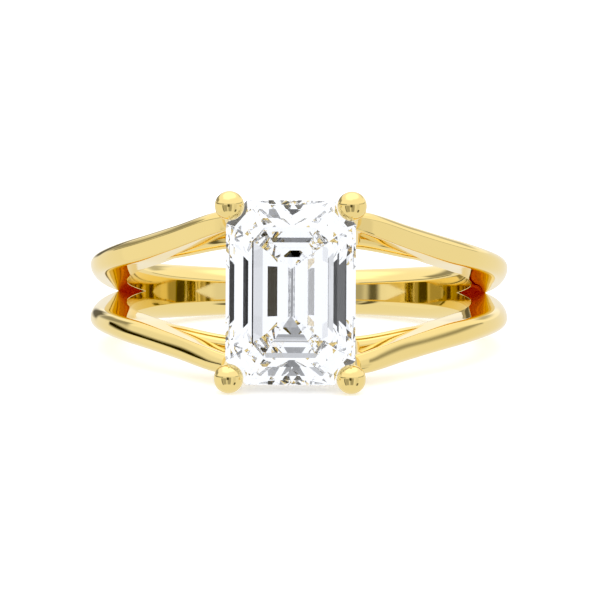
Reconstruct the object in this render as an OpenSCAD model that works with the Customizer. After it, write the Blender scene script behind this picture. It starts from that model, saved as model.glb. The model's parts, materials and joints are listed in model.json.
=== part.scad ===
// Split shank ring with one emerald-cut stone in four ball-tipped prongs, in millimetres.
// Shapes are laid out with the finger axis along Y and the stone's axis along Z, then the whole
// ring is leaned over so that it rests on its side: on two prong balls and the palm-side band.

/* [Finger hole and band] */
// inside diameter, about US size 6 1/2
finger_d = 17; // [15:0.1:20]
// radial thickness of the band
band_t = 1.8; // [1.5:0.05:2.1]
// width of the band at the palm side
band_w = 2.2; // [2.1:0.05:2.8]
// slope of the rails' outer face towards each other, beside the stone
inward = 0.12; // [0.08:0.01:0.15]
// width over both rails where they pass the side of the finger
side_w = 3.72; // [3.5:0.02:4.1]
// depth by which the finger hole flattens the round wire
comfort = 0.04; // [0.02:0.01:0.1]

/* [Rails] */
// ring angle from the palm at which a rail leaves the finger circle
leave_angle = 129; // [124:1:132]
// end of a rail in its prong, across the finger from the middle
rail_end_x = 2.95; // [2.85:0.05:3.2]
// outer edge of a rail at its end, along the finger from the middle
rail_edge_y = 4.1; // [3.95:0.05:4.25]
// width of a rail just before its prong
rail_end_w = 1.2; // [1.1:0.02:1.3]
// half width of the groove between the rails at the side of the finger, outside
side_lip = 0.6; // [0.54:0.02:0.7]
// half width of the groove between the rails at the side of the finger, inside
side_foot = 0.44; // [0.36:0.02:0.52]
// reach of the rounding from the outer face into the groove, at the side of the finger
shoulder = 0.46; // [0.36:0.02:0.52]

/* [Bridge bars] */
// width of each bridge bar under the stone
bridge_w = 1; // [0.8:0.05:1.2]
// radial thickness of each bridge bar under the stone
bridge_t = 1; // [0.8:0.05:1.2]
// distance of each bridge bar from the middle plane
bridge_y = 2.64; // [2.5:0.02:2.8]
// how far the bridge bars stay outside the finger hole's circle
bridge_gap = 0.05; // [0.03:0.01:0.08]

/* [Stone] */
// stone width across the finger
stone_w = 6.2; // [6:0.05:6.4]
// stone length along the finger axis
stone_l = 8.8; // [8.6:0.05:9]
// corner cut measured along the width
corner_w = 1; // [0.9:0.05:1.1]
// corner cut as a share of its length, so that all corner facets stay flat
corner_slope = 1.15; // [1:0.05:1.3]
// table width
table_w = 3.62; // [3.4:0.02:3.9]
// crown height
crown_h = 0.96; // [0.8:0.02:1.1]
// girdle thickness
girdle_h = 0.12; // [0.06:0.02:0.2]
// pavilion depth
pavilion_h = 2.88; // [2.6:0.02:2.96]
// length of the keel line
keel_l = 2.2; // [1.6:0.1:2.6]
// height of the girdle's lower edge above the finger axis
girdle_z = 12.08; // [12:0.02:12.4]

/* [Prongs] */
// ball tip diameter
ball_d = 1.42; // [1.32:0.02:1.5]
// ball centre across the finger
ball_x = 2.92; // [2.86:0.02:3.04]
// ball centre along the finger
ball_y = 4.12; // [4.06:0.02:4.24]
// ball centre above the girdle's lower edge
ball_rise = 0.6; // [0.5:0.05:0.7]
// prong wire diameter
prong_d = 1; // [0.9:0.05:1.1]
// foot of a prong wire in its bridge bar, across the finger
prong_foot_x = 2.75; // [2.65:0.05:2.9]
// clearance between the stone and its metal seat
seat_gap = 0.04; // [0.02:0.01:0.08]

/* [Hidden] */
gold = [0.93, 0.78, 0.42];
clear = [0.9, 0.94, 0.97];

finger_r = finger_d / 2;
wire_r = (band_t + comfort) / 2;
path_r = finger_r - comfort + wire_r;
palm_y = band_w / 2 - wire_r;
ball_z = girdle_z + ball_rise;
// length of the straight part of a rail, along the tangent at leave_angle
run_l = (path_r * sin(leave_angle) - rail_end_x) / -cos(leave_angle);
run_deg = run_l / path_r * 180 / PI;
end_at = leave_angle + run_deg;
// ring angle at which the groove between the rails first opens, outside the band
lip_at = 66;
// overlap of the two halves where the band is whole, and rounding of the groove's edges
fill = 0.2;
soft = 0.12;
// how far a bridge bar's round wire reaches inside the finger hole before it is flattened
bridge_sunk = 0.16;

// the lean at which two balls and the palm-side band touch one plane, and the height that gives
lean_y = ball_y - palm_y;
lean_z = ball_z + path_r;
lean = atan2(lean_y, lean_z) + asin((ball_d / 2 - wire_r) / norm([lean_y, lean_z]));
rest_h = palm_y * cos(lean) + path_r * sin(lean) + wire_r;
// how far the finger hole's middle lies behind the middle of the resting ring
front_y = ball_z * cos(lean) + ball_y * sin(lean) + ball_d / 2;
back_y = path_r * cos(lean) + palm_y * sin(lean) + wire_r;
mid_y = (front_y - back_y) / 2;

function mix(a, b, t) = a + (b - a) * t;
function slope(rows, col, i) =
    i == 0 ? 0
    : i == len(rows) - 1
        ? (rows[i][col] - rows[i - 1][col]) / (rows[i][0] - rows[i - 1][0])
        : (rows[i + 1][col] - rows[i - 1][col]) / (rows[i + 1][0] - rows[i - 1][0]);
function row_below(rows, at, i = 0) =
    i >= len(rows) - 2 || at < rows[i + 1][0] ? i : row_below(rows, at, i + 1);
// smooth value of one column of a table at a place along its first column
function curve(rows, col, at) =
    let (
        i = row_below(rows, at),
        span = rows[i + 1][0] - rows[i][0],
        t = (at - rows[i][0]) / span,
        m0 = slope(rows, col, i) * span,
        m1 = slope(rows, col, i + 1) * span
    )
    (2 * t ^ 3 - 3 * t ^ 2 + 1) * rows[i][col] + (t ^ 3 - 2 * t ^ 2 + t) * m0
        + (3 * t ^ 2 - 2 * t ^ 3) * rows[i + 1][col] + (t ^ 3 - t ^ 2) * m1;

// columns of the section tables; AT is the ring angle from the palm, and runs on past leave_angle
// at the same rate along the straight part of a rail; sizes are from the middle plane
AT = 0;
EDGE = 1; // outer edge of a rail, or middle of a bridge bar
ROUND = 2; // half width of the rounded outer side, or of the bar
THICK = 3; // radial thickness
SLOPE = 4; // slope of the outer face down towards the middle plane
rail_rows = [
    [0, band_w / 2, wire_r, wire_r * 2, 0],
    [46, mix(band_w, side_w, 0.33) / 2, wire_r, wire_r * 2, 0],
    [68, mix(band_w, side_w, 0.62) / 2, wire_r * 0.86, wire_r * 2, inward * 0.4],
    [90, side_w / 2, wire_r * 0.72, wire_r * 2, inward * 0.8],
    [110, mix(side_w / 2, rail_edge_y, 0.15), wire_r * 0.64, wire_r * 2, inward],
    [leave_angle, mix(side_w / 2, rail_edge_y, 0.37), wire_r * 0.62, wire_r * 2, inward],
    [147, mix(side_w / 2, rail_edge_y, 0.63), wire_r * 0.6, wire_r * 1.75, inward],
    [end_at - 8, mix(side_w / 2, rail_edge_y, 0.88), rail_end_w * 0.42, rail_end_w * 1.2, inward],
    [end_at, rail_edge_y - rail_end_w * 0.1, rail_end_w * 0.34, rail_end_w * 0.8, inward]
];
bridge_rows = [
    [116, bridge_y * 0.66, bridge_w * 0.45, bridge_t * 0.9],
    [128, bridge_y * 0.72, bridge_w * 0.48, bridge_t],
    [136, bridge_y * 0.775, bridge_w * 0.5, bridge_t],
    [144, bridge_y * 0.835, bridge_w * 0.5, bridge_t],
    [155, bridge_y * 0.945, bridge_w * 0.5, bridge_t],
    [161, bridge_y * 0.985, bridge_w * 0.5, bridge_t],
    [180, bridge_y, bridge_w * 0.5, bridge_t]
];
// the groove between the rails, from the middle plane: its lip outside and its foot inside; where
// the lip or foot is still negative the two halves run into each other; the outer face falls
// towards the lip, and a rounding of the given reach goes over the lip
LIP = 1;
FOOT = 2;
FALL = 3;
REACH = 4;
groove_rows = [
    [40, -side_lip, -side_lip * 1.1, wire_r * 0.1, soft],
    [lip_at, 0, side_foot - side_lip * 0.76, wire_r * 0.1, shoulder * 0.4],
    [90, side_lip, side_foot, wire_r * 0.1, shoulder],
    [leave_angle, rail_edge_y * 0.337, rail_edge_y * 0.325, wire_r * 0.07, shoulder * 0.5],
    [144, rail_edge_y * 0.465, rail_edge_y * 0.469, wire_r * 0.06, soft],
    [161, rail_edge_y * 0.627, rail_edge_y * 0.66, wire_r * 0.05, soft],
    [end_at, rail_edge_y * 0.745, rail_edge_y * 0.76, wire_r * 0.05, soft]
];
groove_from = groove_rows[0][AT];
function lip(at) = max(-fill, curve(groove_rows, LIP, max(at, groove_from)));
function foot(at) = max(-fill, curve(groove_rows, FOOT, max(at, groove_from)));
function fall(at) = curve(groove_rows, FALL, max(at, groove_from));
function reach(at) = curve(groove_rows, REACH, max(at, groove_from));

// profiles are lists of [height above the finger hole's wall, distance from the middle plane]
function rail_profile(at) =
    let (
        arc_sides = 9,
        edge = curve(rail_rows, EDGE, at),
        a = curve(rail_rows, ROUND, at),
        t = curve(rail_rows, THICK, at),
        slope = curve(rail_rows, SLOPE, at),
        mid = edge - a,
        top = min(lip(at), mid - soft * 1.6),
        low = min(foot(at), mid - soft * 1.6),
        w = mid - top,
        edge_share = 1 - min(reach(at) / w, 0.95),
        rim = t - fall(at) - slope * w,
        face_end = [t - fall(at) * edge_share ^ 2 - slope * w * edge_share, mid - w * edge_share],
        wall = [rim, top - low],
        wall_end = [rim, top] - wall / norm(wall) * w * (1 - edge_share)
    )
    concat(
        [for (k = [0 : arc_sides])
            let (p = 180 * k / arc_sides)
            [(t + slope * a * sin(p)) / 2 * (1 + cos(p)), mid + a * sin(p)]],
        [[0, low + soft], [soft, low]],
        [
            wall_end,
            (wall_end + [rim, top] * 2 + face_end) / 4,
            face_end,
            mix(face_end, [t, mid], 0.5)
        ]
    );
function bridge_profile(at) =
    let (
        sides = 12,
        y = curve(bridge_rows, EDGE, at),
        a = curve(bridge_rows, ROUND, at),
        t = curve(bridge_rows, THICK, at)
    )
    [for (k = [0 : sides - 1])
        let (p = 360 * (k + 0.5) / sides)
        [t / 2 * (1 + cos(p)), y + a * sin(p)]];
// a profile set at its ring angle, on the left for side 1 and on the right for side -1
function placed(profile, at, side) =
    let (
        a = min(at, leave_angle),
        run = (at - a) * PI / 180 * path_r,
        r0 = finger_r - comfort
    )
    [for (p = profile)
        let (r = r0 + p[0])
        [-side * (r * sin(a) + run * cos(a)), p[1], -r * cos(a) + run * sin(a)]];
function rail_section(at, side) = placed(rail_profile(at), at, side);
// a bridge bar never leaves the circle
function bridge_section(at, side) =
    let (r0 = finger_r - bridge_sunk)
    [for (p = bridge_profile(at))
        let (r = r0 + p[0])
        [-side * r * sin(at), p[1], -r * cos(at)]];

// a closed skin through cross-sections of equal point count, with flat ends
module skin(sections) {
    m = len(sections[0]);
    n = len(sections);
    polyhedron(
        points = [for (s = sections) each s],
        faces = concat(
            [[for (k = [m - 1 : -1 : 0]) k]],
            [[for (k = [0 : m - 1]) (n - 1) * m + k]],
            [for (i = [0 : n - 2], k = [0 : m - 1])
                [i * m + k, (i + 1) * m + (k + 1) % m, (i + 1) * m + k]],
            [for (i = [0 : n - 2], k = [0 : m - 1])
                [i * m + k, i * m + (k + 1) % m, (i + 1) * m + (k + 1) % m]]
        )
    );
}

// a long rail: up one side from its prong, round the palm and up to the other prong
module rail_wire() {
    arc_steps = 24;
    run_steps = 7;
    half = concat(
        [for (i = [1 : arc_steps]) leave_angle * i / arc_steps],
        [for (i = [1 : run_steps]) mix(leave_angle, end_at, i / run_steps)]
    );
    n = len(half);
    skin(concat(
        [for (i = [n - 1 : -1 : 0]) rail_section(half[i], -1)],
        [rail_section(0, 1)],
        [for (i = [0 : n - 1]) rail_section(half[i], 1)]
    ));
}

// a bridge bar that carries the finger circle on under the stone, out of the two rails
module bridge_bar() {
    steps = 14;
    from = bridge_rows[0][AT];
    half = [for (i = [0 : steps]) mix(from, 180, i / steps)];
    difference() {
        skin(concat(
            [for (i = [0 : steps]) bridge_section(half[i], 1)],
            [for (i = [steps - 1 : -1 : 0]) bridge_section(half[i], -1)]
        ));
        finger_cut(finger_r + bridge_gap);
    }
}

module finger_cut(r) {
    rotate([90, 0, 0])
        cylinder(r = r, h = stone_l * 2, center = true, $fn = 180);
}

// prong wire from the bridge bar up to its ball tip
module prong(side) {
    foot = [side * prong_foot_x, bridge_y, path_r - wire_r + bridge_t * 0.4];
    tip = [side * ball_x, ball_y, ball_z];
    d = tip - foot;
    translate(foot)
        rotate([0, acos(d[2] / norm(d)), atan2(d[1], d[0])])
            cylinder(h = norm(d), d = prong_d, $fn = 48);
    translate(tip)
        sphere(d = ball_d, $fn = 48);
}

// eight corners of one level of the stone, grown by g
function level(w, l, cut, z, g) =
    let (
        x = w / 2 + g,
        y = l / 2 + g,
        cx = cut + g * 0.5,
        cy = cx * corner_slope
    )
    [
        [x, y - cy, z],
        [x - cx, y, z],
        [cx - x, y, z],
        [-x, y - cy, z],
        [-x, cy - y, z],
        [cx - x, -y, z],
        [x - cx, -y, z],
        [x, cy - y, z]
    ];

// the step-cut stone; g grows it on all sides for the seat that is cut for it
module step_cut(g) {
    top_z = girdle_z + girdle_h;
    drop = (stone_w - table_w) / 2;
    // each level as shares: way in from the girdle, corner cut, height from the girdle to table or keel
    pavilion_rows = [[0.64, 0.31, 0.755], [0.325, 0.62, 0.43], [0, 1, 0]];
    crown_rows = [[0, 1, 0], [0.333, 0.86, 0.45], [0.667, 0.73, 0.77], [1, 0.6, 1]];
    half_w = stone_w / 2;
    levels = concat(
        [for (r = pavilion_rows)
            level(
                stone_w * (1 - r[0]),
                mix(stone_l, keel_l, r[0]),
                corner_w * r[1],
                girdle_z - pavilion_h * r[2] - g,
                g
            )],
        [for (r = crown_rows)
            level(
                stone_w - 2 * drop * r[0],
                stone_l - 2 * drop * r[0],
                corner_w * r[1],
                top_z + crown_h * r[2] + g,
                g
            )]
    );
    keel_z = girdle_z - pavilion_h - g;
    points = concat(
        [[0, keel_l / 2, keel_z], [0, -keel_l / 2, keel_z]],
        [for (l = levels) each l]
    );
    n = len(levels);
    polyhedron(
        points = points,
        faces = concat(
            [
                [0, 1, 9, 2],
                [0, 2, 3],
                [0, 3, 4],
                [0, 4, 5],
                [1, 0, 5, 6],
                [1, 6, 7],
                [1, 7, 8],
                [1, 8, 9]
            ],
            [for (i = [0 : n - 2], k = [0 : 7])
                [2 + i * 8 + k, 10 + i * 8 + k, 10 + i * 8 + (k + 1) % 8, 2 + i * 8 + (k + 1) % 8]],
            [[for (k = [7 : -1 : 0]) 2 + (n - 1) * 8 + k]]
        )
    );
}

module at_rest() {
    translate([0, mid_y, rest_h])
        rotate([90 - lean, 0, 0])
            children();
}

module split_shank_setting() {
    color(gold)
        at_rest()
            difference() {
                union() {
                    for (m = [0, 1])
                        mirror([0, m, 0]) {
                            rail_wire();
                            bridge_bar();
                            prong(1);
                            prong(-1);
                        }
                }
                finger_cut(finger_r);
                step_cut(seat_gap);
            }
}

module emerald_cut_stone() {
    color(clear)
        at_rest()
            step_cut(0);
}

split_shank_setting();
emerald_cut_stone();
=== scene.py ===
import json
from math import asin, cos, hypot, pi, radians, sin

import bmesh
import bpy
from mathutils import Matrix, Vector


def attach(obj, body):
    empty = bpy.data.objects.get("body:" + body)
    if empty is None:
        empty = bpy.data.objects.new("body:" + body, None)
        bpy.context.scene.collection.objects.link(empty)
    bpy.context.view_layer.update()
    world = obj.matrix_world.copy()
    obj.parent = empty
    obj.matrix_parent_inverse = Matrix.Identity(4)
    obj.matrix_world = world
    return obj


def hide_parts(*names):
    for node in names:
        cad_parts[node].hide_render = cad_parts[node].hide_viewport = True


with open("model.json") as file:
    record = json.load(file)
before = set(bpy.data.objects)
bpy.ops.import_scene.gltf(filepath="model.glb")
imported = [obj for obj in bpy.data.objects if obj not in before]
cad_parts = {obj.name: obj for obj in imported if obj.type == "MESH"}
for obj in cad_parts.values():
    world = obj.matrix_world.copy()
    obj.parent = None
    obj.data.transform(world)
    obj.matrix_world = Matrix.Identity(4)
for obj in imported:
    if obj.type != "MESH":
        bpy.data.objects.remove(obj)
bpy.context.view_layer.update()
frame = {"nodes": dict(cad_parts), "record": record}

# Band and rails. The band and the two rails it splits into on each side, cast in 18 carat yellow
# gold as one piece with the bridge bars and prongs. Each half is a sweep round the finger that runs
# straight up to its prong; the halves meet in the band and part in a V groove at the sides.
finger_d = 17.0
band_t = 1.8
band_w = 2.2
side_w = 3.72
comfort = 0.04
leave_angle = 129
rail_end_x = 2.95
rail_edge_y = 4.1
rail_end_w = 1.2
side_lip = 0.6
side_foot = 0.44
lip_at = 66
fill = 0.2
soft = 0.1
inward = 0.12
shoulder = 0.46
weld = 0.0004

finger_r = finger_d / 2
wire_r = (band_t + comfort) / 2
path_r = finger_r - comfort + wire_r
run_l = (path_r * sin(radians(leave_angle)) - rail_end_x) / -cos(radians(leave_angle))
end_at = leave_angle + run_l / path_r * 180 / pi

# The ring is modelled in millimetres with X across the finger, Y along it and Z up to the stone,
# then placed by the finger hole's own mount.
hole = frame["record"]["mounts"][0]
finger_axis = Vector(hole["axis"]).normalized()
stone_axis = Vector((0, -finger_axis.z, finger_axis.y))
ring_place = (
    Matrix.Translation(Vector(hole["pos_m"]))
    @ Matrix((Vector((1, 0, 0)), finger_axis, stone_axis)).transposed().to_4x4()
    @ Matrix.Scale(0.001, 4)
)


def mix(a, b, t):
    """The value a share t of the way from a to b."""
    return a + (b - a) * t


def curve(rows, column, at):
    """Smooth value of one column of a table at a place along its first column."""
    i = 0
    while i < len(rows) - 2 and at >= rows[i + 1][0]:
        i += 1

    def slope(k):
        if k == 0:
            return 0
        a, b = rows[k - 1], rows[min(k + 1, len(rows) - 1)]
        return (b[column] - a[column]) / (b[0] - a[0])

    span = rows[i + 1][0] - rows[i][0]
    t = (at - rows[i][0]) / span
    return (
        (2 * t**3 - 3 * t**2 + 1) * rows[i][column]
        + (t**3 - 2 * t**2 + t) * slope(i) * span
        + (3 * t**2 - 2 * t**3) * rows[i + 1][column]
        + (t**3 - t**2) * slope(i + 1) * span
    )


# Columns: ring angle from the palm, outer edge from the middle plane, half width of the rounded
# outer side, radial thickness, slope of the outer face down towards the middle plane.
EDGE, ROUND, THICK, SLOPE = range(1, 5)
rail_rows = [
    [0, band_w / 2, wire_r, wire_r * 2, 0],
    [46, mix(band_w, side_w, 0.33) / 2, wire_r, wire_r * 2, 0],
    [68, mix(band_w, side_w, 0.62) / 2, wire_r * 0.86, wire_r * 2, inward * 0.4],
    [90, side_w / 2, wire_r * 0.72, wire_r * 2, inward * 0.8],
    [110, mix(side_w / 2, rail_edge_y, 0.15), wire_r * 0.64, wire_r * 2, inward],
    [leave_angle, mix(side_w / 2, rail_edge_y, 0.37), wire_r * 0.62, wire_r * 2, inward],
    [147, mix(side_w / 2, rail_edge_y, 0.63), wire_r * 0.6, wire_r * 1.75, inward],
    [end_at - 8, mix(side_w / 2, rail_edge_y, 0.88), rail_end_w * 0.42, rail_end_w * 1.2, inward],
    [end_at, rail_edge_y - rail_end_w * 0.1, rail_end_w * 0.34, rail_end_w * 0.8, inward],
]
# Columns: ring angle, lip of the groove outside and foot of the groove inside from the middle
# plane, fall of the outer face towards the lip, reach of the rounding over the lip.
LIP, FOOT, FALL, REACH = range(1, 5)
groove_rows = [
    [40, -side_lip, -side_lip * 1.1, wire_r * 0.1, soft],
    [lip_at, 0, side_foot - side_lip * 0.76, wire_r * 0.1, shoulder * 0.4],
    [90, side_lip, side_foot, wire_r * 0.1, shoulder],
    [leave_angle, rail_edge_y * 0.337, rail_edge_y * 0.325, wire_r * 0.07, shoulder * 0.5],
    [144, rail_edge_y * 0.465, rail_edge_y * 0.469, wire_r * 0.06, soft],
    [161, rail_edge_y * 0.627, rail_edge_y * 0.66, wire_r * 0.05, soft],
    [end_at, rail_edge_y * 0.745, rail_edge_y * 0.76, wire_r * 0.05, soft],
]
groove_from = groove_rows[0][0]
sharp_from = radians(30)
# Steps that the parts of the outline are drawn in.
round_steps = 28
face_steps = 8
lip_steps = 12
wall_steps = 8
foot_steps = 4
inside_steps = 3


def rounded_corner(before, corner, after, reach, steps):
    """Points round a corner of an outline, from one side to the next."""
    a = corner + (before - corner).normalized() * reach
    b = corner + (after - corner).normalized() * reach
    return [
        a * (1 - t) ** 2 + corner * 2 * t * (1 - t) + b * t**2
        for t in (k / steps for k in range(steps + 1))
    ]


def between(a, b, steps):
    """Points from a to b, without the two ends."""
    return [a.lerp(b, k / steps) for k in range(1, steps)]


def rail_outline(at):
    """Outline of one rail: (height above the finger, distance from the middle plane)."""
    a = curve(rail_rows, ROUND, at)
    t = curve(rail_rows, THICK, at)
    slope = curve(rail_rows, SLOPE, at)
    mid = curve(rail_rows, EDGE, at) - a
    groove_at = max(at, groove_from)
    lip = min(max(curve(groove_rows, LIP, groove_at), -fill), mid - soft * 1.6)
    foot = min(max(curve(groove_rows, FOOT, groove_at), -fill), mid - soft * 1.6)
    fall = curve(groove_rows, FALL, groove_at)
    reach = min(curve(groove_rows, REACH, groove_at), (mid - lip) * 0.95)
    flat_share = 1 - reach / (mid - lip)
    top = [
        Vector((t - fall * k**2 - slope * (mid - lip) * k, mix(mid, lip, k)))
        for k in (step / face_steps * flat_share for step in range(face_steps + 1))
    ]
    lip_point = Vector((t - fall - slope * (mid - lip), lip))
    foot_point = Vector((0, foot))
    arc = [
        Vector(((t + slope * a * sin(p)) / 2 * (1 + cos(p)), mid + a * sin(p)))
        for p in (pi * k / round_steps for k in range(round_steps + 1))
    ]
    lip_arc = rounded_corner(top[-1], lip_point, foot_point, reach, lip_steps)
    foot_arc = rounded_corner(lip_point, foot_point, arc[-1], soft, foot_steps)
    return (
        arc[:-1][::-1]
        + top[1:-1]
        + lip_arc
        + between(lip_arc[-1], foot_arc[0], wall_steps)
        + foot_arc
        + between(foot_arc[-1], arc[-1], inside_steps)
        + [arc[-1]]
    )


def rail_ring(bm, at, side):
    """One closed ring of edges: the outline at a ring angle, on the left for side 1."""
    a = radians(min(at, leave_angle))
    run = (at - min(at, leave_angle)) * pi / 180 * path_r
    verts = []
    for height, y in rail_outline(at):
        r = finger_r - comfort + height
        x = r * sin(a) + run * cos(a)
        z = run * sin(a) - r * cos(a)
        inside = min(hypot(x, z) / finger_r, 1)
        verts.append(bm.verts.new((-side * x / inside, y, z / inside)))
    return [bm.edges.new((p, q)) for p, q in zip(verts, verts[1:] + verts[:1])]


def sweep(bm, rings):
    """Skins a row of rings and closes its two ends."""
    for one, two in zip(rings, rings[1:]):
        bmesh.ops.bridge_loops(bm, edges=one + two)
    bmesh.ops.edgeloop_fill(bm, edges=rings[0])
    bmesh.ops.edgeloop_fill(bm, edges=rings[-1])


def make_piece(name, bm, material):
    """Closes a mesh in ring millimetres and makes it a piece of the setting, in the row's frame."""
    bmesh.ops.remove_doubles(bm, verts=bm.verts, dist=weld)
    bmesh.ops.recalc_face_normals(bm, faces=bm.faces)
    bmesh.ops.transform(bm, matrix=ring_place, verts=bm.verts)
    mesh = bpy.data.meshes.new(name)
    bm.to_mesh(mesh)
    bm.free()
    mesh.polygons.foreach_set("use_smooth", [True] * len(mesh.polygons))
    mesh.set_sharp_from_angle(angle=sharp_from)
    mesh.materials.append(material)
    piece = bpy.data.objects.new(name, mesh)
    bpy.context.scene.collection.objects.link(piece)
    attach(piece, "root")
    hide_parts("split_shank_setting")


def linear(hex_colour):
    """An sRGB hex colour as linear numbers for a shader socket."""
    parts = [int(hex_colour[i : i + 2], 16) / 255 for i in (1, 3, 5)]
    return [p / 12.92 if p <= 0.04045 else ((p + 0.055) / 1.055) ** 2.4 for p in parts] + [1.0]


def add_node(tree, kind, settings=(), links=()):
    """Adds a node; settings are socket values or attributes by name, links are (output, socket)."""
    node = tree.nodes.new(kind)
    for key, value in dict(settings).items():
        if isinstance(key, int) or key in node.inputs:
            node.inputs[key].default_value = value
        else:
            setattr(node, key, value)
    for output, socket in links:
        tree.links.new(output, node.inputs[socket])
    return node


# Polished 18 carat yellow gold: cast, filed, then buffed to a mirror. The hand buffing leaves waves
# about 4 mm long and a few micrometres deep, which bend the reflections a little, clouds of slightly
# softer gloss about 1.5 mm across, and a tone that drifts between a paler and a fuller yellow. The
# patterns' sizes are in millimetres, and the depth is the whole range of the bump.
tone_patch = 6.0
gloss_cloud = 1.5
buffing_wave = 4.0
wave_depth = 0.02
polished_gold = bpy.data.materials.new("polished_yellow_gold")
polished_gold.use_nodes = True
gold_tree = polished_gold.node_tree
gold_shader = gold_tree.nodes["Principled BSDF"]
gold_shader.inputs["Metallic"].default_value = 1.0
gold_place = add_node(gold_tree, "ShaderNodeTexCoord").outputs["Object"]
gold_tone = add_node(
    gold_tree,
    "ShaderNodeTexNoise",
    {"Scale": 1000 / tone_patch, "Detail": 1.0},
    [(gold_place, "Vector")],
)
gold_colour = add_node(
    gold_tree,
    "ShaderNodeMix",
    {"data_type": "RGBA", 6: linear("#F2DC99"), 7: linear("#F1D78D")},
    [(gold_tone.outputs[0], 0)],
)
gold_tree.links.new(gold_colour.outputs[2], gold_shader.inputs["Base Color"])
buffing = add_node(
    gold_tree,
    "ShaderNodeTexNoise",
    {"Scale": 1000 / gloss_cloud, "Detail": 3.0},
    [(gold_place, "Vector")],
)
gloss = add_node(
    gold_tree,
    "ShaderNodeMapRange",
    {"From Min": 0.3, "From Max": 0.7, "To Min": 0.02, "To Max": 0.075},
    [(buffing.outputs[0], "Value")],
)
gold_tree.links.new(gloss.outputs[0], gold_shader.inputs["Roughness"])
waves = add_node(
    gold_tree,
    "ShaderNodeTexNoise",
    {"Scale": 1000 / buffing_wave, "Detail": 1.5},
    [(gold_place, "Vector")],
)
wave_bump = add_node(
    gold_tree,
    "ShaderNodeBump",
    {"Strength": 1.0, "Distance": wave_depth / 1000},
    [(waves.outputs[0], "Height")],
)
gold_tree.links.new(wave_bump.outputs[0], gold_shader.inputs["Normal"])

# The sweep has a ring of edges about every 1.5 degrees.
arc_steps = 86
run_steps = 28
rails = bmesh.new()
arc_angles = [leave_angle * k / arc_steps for k in range(arc_steps + 1)]
run_angles = [mix(leave_angle, end_at, k / run_steps) for k in range(1, run_steps + 1)]
rail_angles = arc_angles + run_angles
rail_rings = [rail_ring(rails, at, -1) for at in rail_angles[:0:-1]]
rail_rings += [rail_ring(rails, at, 1) for at in rail_angles]
sweep(rails, rail_rings)
bmesh.ops.recalc_face_normals(rails, faces=rails.faces)
bmesh.ops.bisect_plane(
    rails,
    geom=rails.verts[:] + rails.edges[:] + rails.faces[:],
    dist=0.0001,
    plane_co=(0, 0, 0),
    plane_no=(0, 1, 0),
    clear_inner=True,
)
bmesh.ops.mirror(
    rails, geom=rails.verts[:] + rails.edges[:] + rails.faces[:], merge_dist=weld, axis="Y"
)
make_piece("band_and_rails", rails, polished_gold)

# Bridge bars. Two round gold bars that carry the finger circle on under the stone, out of the
# rails; the prongs stand on them.
bridge_w = 1.0
bridge_t = 1.0
bridge_y = 2.64
bridge_gap = 0.05
bridge_sunk = 0.16

# Columns: ring angle, middle of the bar from the middle plane, its half width, radial thickness.
BAR_MIDDLE, BAR_HALF, BAR_THICK = range(1, 4)
bar_sides = 36
bar_steps = 40
bridge_rows = [
    [116, bridge_y * 0.66, bridge_w * 0.45, bridge_t * 0.9],
    [128, bridge_y * 0.72, bridge_w * 0.48, bridge_t],
    [136, bridge_y * 0.775, bridge_w * 0.5, bridge_t],
    [144, bridge_y * 0.835, bridge_w * 0.5, bridge_t],
    [155, bridge_y * 0.945, bridge_w * 0.5, bridge_t],
    [161, bridge_y * 0.985, bridge_w * 0.5, bridge_t],
    [180, bridge_y, bridge_w * 0.5, bridge_t],
]


def bridge_ring(bm, at, side):
    """One closed ring of edges round a bar at a ring angle, on the left for side 1."""
    y = curve(bridge_rows, BAR_MIDDLE, at)
    a = curve(bridge_rows, BAR_HALF, at)
    t = curve(bridge_rows, BAR_THICK, at)
    verts = []
    for k in range(bar_sides):
        p = 2 * pi * k / bar_sides
        r = max(finger_r - bridge_sunk + t / 2 * (1 + cos(p)), finger_r + bridge_gap)
        place = (-side * r * sin(radians(at)), y + a * sin(p), -r * cos(radians(at)))
        verts.append(bm.verts.new(place))
    return [bm.edges.new((p, q)) for p, q in zip(verts, verts[1:] + verts[:1])]


bars = bmesh.new()
bar_angles = [mix(bridge_rows[0][0], 180, k / bar_steps) for k in range(bar_steps + 1)]
bar_rings = [bridge_ring(bars, at, 1) for at in bar_angles]
bar_rings += [bridge_ring(bars, at, -1) for at in bar_angles[-2::-1]]
sweep(bars, bar_rings)
bmesh.ops.mirror(
    bars, geom=bars.verts[:] + bars.edges[:] + bars.faces[:], merge_dist=0, axis="Y"
)
make_piece("bridge_bars", bars, polished_gold)

# Prongs. Four gold wires from the bridge bars up past the corners of the stone; the end of each is
# melted back into a ball that holds the girdle.
girdle_z = 12.08
ball_d = 1.42
ball_x = 2.92
ball_y = 4.12
ball_rise = 0.6
prong_d = 1.0
prong_foot_x = 2.75
ball_z = girdle_z + ball_rise
wire_steps = 12
ball_steps = 30
prong_sides = 64

prongs = bmesh.new()
foot = Vector((prong_foot_x, bridge_y, path_r - wire_r + bridge_t * 0.4))
tip = Vector((ball_x, ball_y, ball_z))
length = (tip - foot).length
ball_r = ball_d / 2
neck = asin(prong_d / 2 / ball_r)
outline = [(0, 0), (prong_d / 2, 0)]
wire_l = length - ball_r * cos(neck)
outline += [(prong_d / 2, wire_l * k / wire_steps) for k in range(1, wire_steps + 1)]
outline += [
    (ball_r * sin(p), length - ball_r * cos(p))
    for p in (mix(neck, pi, k / ball_steps) for k in range(1, ball_steps + 1))
]
line = [prongs.verts.new((x, 0, z)) for x, z in outline]
edges = [prongs.edges.new((p, q)) for p, q in zip(line, line[1:])]
bmesh.ops.spin(
    prongs,
    geom=line + edges,
    cent=(0, 0, 0),
    axis=(0, 0, 1),
    angle=2 * pi,
    steps=prong_sides,
    use_merge=True,
)
bmesh.ops.remove_doubles(prongs, verts=prongs.verts, dist=weld)
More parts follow.
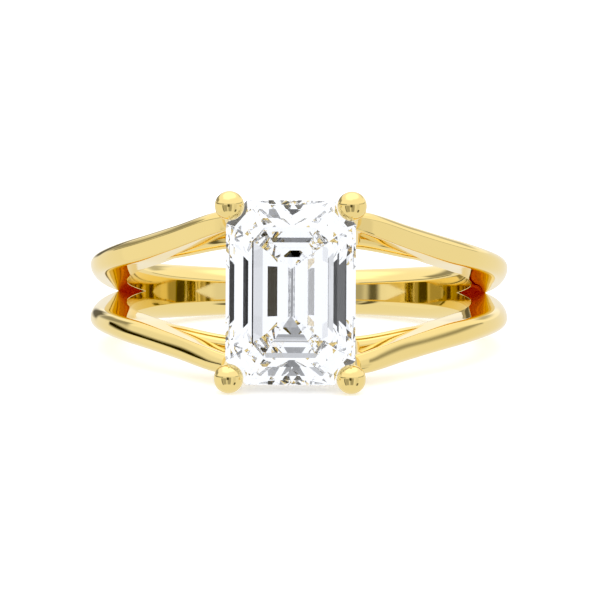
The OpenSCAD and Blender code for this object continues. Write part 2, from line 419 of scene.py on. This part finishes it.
turn = (tip - foot).to_track_quat("Z", "Y").to_matrix().to_4x4()
bmesh.ops.transform(prongs, matrix=Matrix.Translation(foot) @ turn, verts=prongs.verts)
for axis in "XY":
    bmesh.ops.mirror(
        prongs, geom=prongs.verts[:] + prongs.edges[:] + prongs.faces[:], merge_dist=0, axis=axis
    )
make_piece("prongs", prongs, polished_gold)

# Stone. An emerald-cut diamond, a step-cut octagon that stands in the four prongs. Its facets are
# cut flat and polished, so it throws back crisp light and dark strips; the thin girdle between crown
# and pavilion is only ground, which shows as a frosted line.
girdle_h = 0.12
grit = 0.2

# Cut diamond: clear, with very strong refraction. Little of the room glares off its table in a
# studio hung for stones, so the tint takes part of that glare away. The grit of the ground girdle is
# drawn coarser than the real one, or it wouldn't show.
cut_diamond = bpy.data.materials.new("cut_diamond")
cut_diamond.use_nodes = True
diamond_tree = cut_diamond.node_tree
diamond_shader = diamond_tree.nodes["Principled BSDF"]
diamond_shader.inputs["Base Color"].default_value = linear("#FEFEFF")
diamond_shader.inputs["IOR"].default_value = 2.417
diamond_shader.inputs["Transmission Weight"].default_value = 1.0
diamond_shader.inputs["Specular Tint"].default_value = linear("#969696")
diamond_place = add_node(diamond_tree, "ShaderNodeTexCoord").outputs["Object"]
diamond_height = add_node(
    diamond_tree,
    "ShaderNodeVectorMath",
    {"operation": "DOT_PRODUCT", 1: stone_axis},
    [(diamond_place, 0)],
)
girdle_middle = Vector(hole["pos_m"]).dot(stone_axis) + (girdle_z + girdle_h / 2) / 1000
ground_girdle = add_node(
    diamond_tree,
    "ShaderNodeMath",
    {"operation": "COMPARE", 1: girdle_middle, 2: girdle_h * 0.48 / 1000},
    [(diamond_height.outputs["Value"], 0)],
)
frosting = add_node(
    diamond_tree, "ShaderNodeTexNoise", {"Scale": 1000 / grit}, [(diamond_place, "Vector")]
)
girdle_gloss = add_node(
    diamond_tree,
    "ShaderNodeMath",
    {"operation": "MULTIPLY"},
    [(ground_girdle.outputs[0], 0), (frosting.outputs[0], 1)],
)
diamond_tree.links.new(girdle_gloss.outputs[0], diamond_shader.inputs["Roughness"])
stone = frame["nodes"]["emerald_cut_stone"]
stone.data.materials.clear()
stone.data.materials.append(cut_diamond)

# Floor, light and camera. The ring lies on a white floor in a white studio hung with cards, seen
# from a little above its own middle plane.
floor_radius_m = 1.5
scene = bpy.context.scene
floor_bm = bmesh.new()
bmesh.ops.create_circle(floor_bm, cap_ends=True, segments=64, radius=floor_radius_m)
floor_mesh = bpy.data.meshes.new("floor")
floor_bm.to_mesh(floor_mesh)
floor_bm.free()
floor = bpy.data.objects.new("floor", floor_mesh)
scene.collection.objects.link(floor)
# White acrylic lit from below, sanded matt, so that hardly any shadow is left on it; the gold and
# the stone see the studio instead of it.
lit_acrylic = bpy.data.materials.new("lit_white_acrylic")
lit_acrylic.use_nodes = True
acrylic_shader = lit_acrylic.node_tree.nodes["Principled BSDF"]
acrylic_shader.inputs["Base Color"].default_value = linear("#E8E8E8")
acrylic_shader.inputs["Roughness"].default_value = 0.7
acrylic_shader.inputs["Emission Color"].default_value = linear("#FFFFFF")
acrylic_shader.inputs["Emission Strength"].default_value = 0.45
floor_mesh.materials.append(lit_acrylic)
floor.visible_glossy = False
floor.visible_transmission = False

# The studio is white tents and dark cards round the ring, seen only as reflections; straight to the
# camera the background is white. Directions are the camera's own: azimuth 0 behind the camera, 90 on
# its right, elevation from its view line.
camera_rise = radians(9.7)
studio = bpy.data.worlds.new("studio")
scene.world = studio
studio.use_nodes = True
air = studio.node_tree
direction = add_node(air, "ShaderNodeTexCoord")
seen_from_camera = add_node(
    air,
    "ShaderNodeVectorRotate",
    {"rotation_type": "X_AXIS", "Angle": camera_rise},
    [(direction.outputs["Generated"], "Vector")],
)
xyz = add_node(air, "ShaderNodeSeparateXYZ", links=[(seen_from_camera.outputs[0], 0)])
back = add_node(air, "ShaderNodeMath", {"operation": "MULTIPLY", 1: -1}, [(xyz.outputs["Y"], 0)])
azimuth = add_node(
    air, "ShaderNodeMath", {"operation": "ARCTAN2"}, [(xyz.outputs["X"], 0), (back.outputs[0], 1)]
)
elevation = add_node(air, "ShaderNodeMath", {"operation": "ARCSINE"}, [(xyz.outputs["Z"], 0)])


def near(angle, middle, reach, fade):
    """1 where an angle in degrees is within reach of the middle, fading to 0 past it."""
    off = add_node(
        air, "ShaderNodeMath", {"operation": "SUBTRACT", 1: radians(middle)}, [(angle.outputs[0], 0)]
    )
    turn_off = add_node(
        air, "ShaderNodeMath", {"operation": "WRAP", 1: pi, 2: -pi}, [(off.outputs[0], 0)]
    )
    size = add_node(air, "ShaderNodeMath", {"operation": "ABSOLUTE"}, [(turn_off.outputs[0], 0)])
    return add_node(
        air,
        "ShaderNodeMapRange",
        {
            "interpolation_type": "SMOOTHSTEP",
            "From Min": radians(reach - fade / 2),
            "From Max": radians(reach + fade / 2),
            "To Min": 1.0,
            "To Max": 0.0,
        },
        [(size.outputs[0], "Value")],
    )


def studio_glow(cards, walls):
    """Brightness of the studio by direction: plain walls with soft-edged cards over each other."""
    glow = None
    for card_az, card_w, card_el, card_h, edge, bright in cards:
        across = near(azimuth, card_az, card_w, edge)
        up = near(elevation, card_el, card_h, edge)
        cover = add_node(
            air,
            "ShaderNodeMath",
            {"operation": "MULTIPLY"},
            [(across.outputs[0], 0), (up.outputs[0], 1)],
        )
        glow = add_node(
            air,
            "ShaderNodeMix",
            {"data_type": "FLOAT", 2: walls, 3: bright},
            [(cover.outputs[0], 0)] + ([(glow.outputs[0], 2)] if glow else []),
        )
    return glow


# Columns: azimuth, half width, elevation, half height, softness of the edges, all in degrees, and
# brightness; a later card stands in front of an earlier one. The first set lights the gold. The
# second is what the stone's inner facets pick up: each of them looks out one way only, so a narrow
# dark card there is one dark bar in the stone. Gold seen through the stone is in its shade.
gold_cards = [
    [0, 200, 55, 38, 3, 1.12],
    [0, 200, 85, 30, 16, 1.6],
    [-35, 40, 60, 12, 20, 1.6],
    [-85, 25, -15, 17, 5, 1.0],
    [-125, 22, 22, 8, 8, 0.36],
    [-157, 9, 15, 9, 7, 0.16],
    [-84, 44, 10, 1.8, 2.5, 0.03],
    [150, 14, 30, 5, 8, 0.6],
    [92, 34, 14, 1.6, 3, 0.4],
    [50, 12, -15, 25, 7, 0.85],
    [60, 8, -35, 9, 5, 0.15],
    [8, 14, -18, 27, 8, 0.45],
    [-30, 14, -20, 24, 8, 0.48],
    [-50, 4, -21, 24, 5, 0.14],
    [-4, 9, 0, 10, 5, 0.1],
]
stone_cards = [
    [0, 200, 88, 4, 3, 0.5],
    [-6.5, 10, 72.7, 1.5, 1, 0.55],
    [15.5, 0.5, 0, 5, 0.3, 0.8],
    [-34.8, 1, 0, 5, 0.6, 0.88],
    [1.06, 0.3, 0, 5, 0.3, 0.0],
    [26, 1, 0, 5, 1, 0.2],
    [31.1, 0.6, 0, 5, 0.4, 0.0],
    [-92.3, 2, 0, 5, 1, 0.0],
    [-27.2, 1, 0, 5, 0.6, 0.02],
    [-13.85, 0.35, 0, 5, 0.2, 0.1],
    [-0.56, 0.5, 0, 5, 0.3, 0.25],
    [-2.3, 4, -33.5, 0.6, 0.5, 0.02],
    [-2.4, 4, 37.9, 0.8, 0.5, 0.08],
    [-2.1, 4, 26.6, 0.35, 0.3, 0.0],
    [-2.2, 4, 27.5, 0.35, 0.3, 0.65],
    [-2.1, 4, -26.6, 0.4, 0.3, 0.42],
    [-1.9, 4, -5.5, 0.4, 0.3, 0.4],
    [-2, 4, -11.6, 0.25, 0.1, 0.55],
    [-2, 4, 12.1, 0.25, 0.1, 0.42],
    [-3, 4, 50.1, 0.5, 0.3, 0.2],
    [-2.3, 4, 33.5, 0.5, 0.3, 0.35],
    [-41.1, 2, 25.8, 1, 1, 0.3],
    [40.4, 2, 29.8, 1, 1, 0.35],
    [35.3, 2, -12.5, 1, 1, 0.4],
    [35.3, 2, 12.3, 1, 1, 0.3],
    [-161, 4, -14.7, 2, 1, 0.12],
    [-159.5, 3, -26.2, 2, 1, 0.2],
    [160, 4, 10.7, 2, 1, 0.15],
    [-24, 3, -30, 2, 1, 0.25],
    [-24, 3, 30, 2, 1, 0.25],
    [160, 4, -10.6, 2, 1, 0.15],
    [-123, 3, 0, 5, 1, 0.5],
]
gold_walls = 0.96
stone_walls = 1.12
shade_under_stone = 0.05
gold_glow = studio_glow(gold_cards, gold_walls)
stone_glow = studio_glow(stone_cards, stone_walls)
ray = add_node(air, "ShaderNodeLightPath")
through_stone = add_node(
    air,
    "ShaderNodeMath",
    {"operation": "GREATER_THAN", 1: 0.5},
    [(ray.outputs["Transmission Depth"], 0)],
)
gold_air = air.nodes["Background"]
gold_air.inputs["Color"].default_value = (1, 1, 1, 1)
air.links.new(gold_glow.outputs[0], gold_air.inputs["Strength"])
under_stone = add_node(
    air,
    "ShaderNodeMix",
    {"data_type": "FLOAT", 2: shade_under_stone},
    [(ray.outputs["Is Transmission Ray"], 0), (stone_glow.outputs[0], 3)],
)
stone_air = add_node(
    air,
    "ShaderNodeBackground",
    {"Color": linear("#F7FAFF")},
    [(under_stone.outputs[0], "Strength")],
)
backdrop = add_node(air, "ShaderNodeBackground", {"Color": (1, 1, 1, 1), "Strength": 1.0})
reflected = add_node(
    air,
    "ShaderNodeMixShader",
    links=[(through_stone.outputs[0], 0), (gold_air.outputs[0], 1), (stone_air.outputs[0], 2)],
)
shown = add_node(
    air,
    "ShaderNodeMixShader",
    links=[(ray.outputs["Is Camera Ray"], 0), (reflected.outputs[0], 1), (backdrop.outputs[0], 2)],
)
air.links.new(shown.outputs[0], air.nodes["World Output"].inputs["Surface"])
# Polished metal and stone find the cards by their own reflections, so no light is aimed for.
studio.cycles.sampling_method = "NONE"

# The camera looks at the middle of the finger hole, almost square to the stone's table. The shift
# puts the ring where it is in the picture.
photo_width = 600
mm_per_pixel = 0.0494
camera_distance = 350
camera_turn = radians(1.9)
shift_pixels = (1, -8)
camera = bpy.data.cameras.new("camera")
camera.sensor_width = 36
camera.lens = camera.sensor_width * camera_distance / (photo_width * mm_per_pixel)
camera.clip_start = 0.01
camera.clip_end = 10
camera.shift_x = shift_pixels[0] / photo_width
camera.shift_y = shift_pixels[1] / photo_width
camera_object = bpy.data.objects.new("camera", camera)
scene.collection.objects.link(camera_object)
scene.camera = camera_object
away = Vector(
    (
        sin(camera_turn) * cos(camera_rise),
        -cos(camera_turn) * cos(camera_rise),
        sin(camera_rise),
    )
)
camera_object.location = Vector(hole["pos_m"]) + away * camera_distance / 1000
camera_object.rotation_euler = away.to_track_quat("Z", "Y").to_euler()

# Plain colours with slightly deepened darks, and bounces enough for the stone's inner reflections.
scene.view_settings.view_transform = "Standard"
scene.view_settings.use_curve_mapping = True
scene.view_settings.curve_mapping.black_level = (0.02, 0.02, 0.02)
scene.cycles.max_bounces = 64
scene.cycles.glossy_bounces = 48
scene.cycles.transmission_bounces = 64
scene.cycles.use_denoising = True
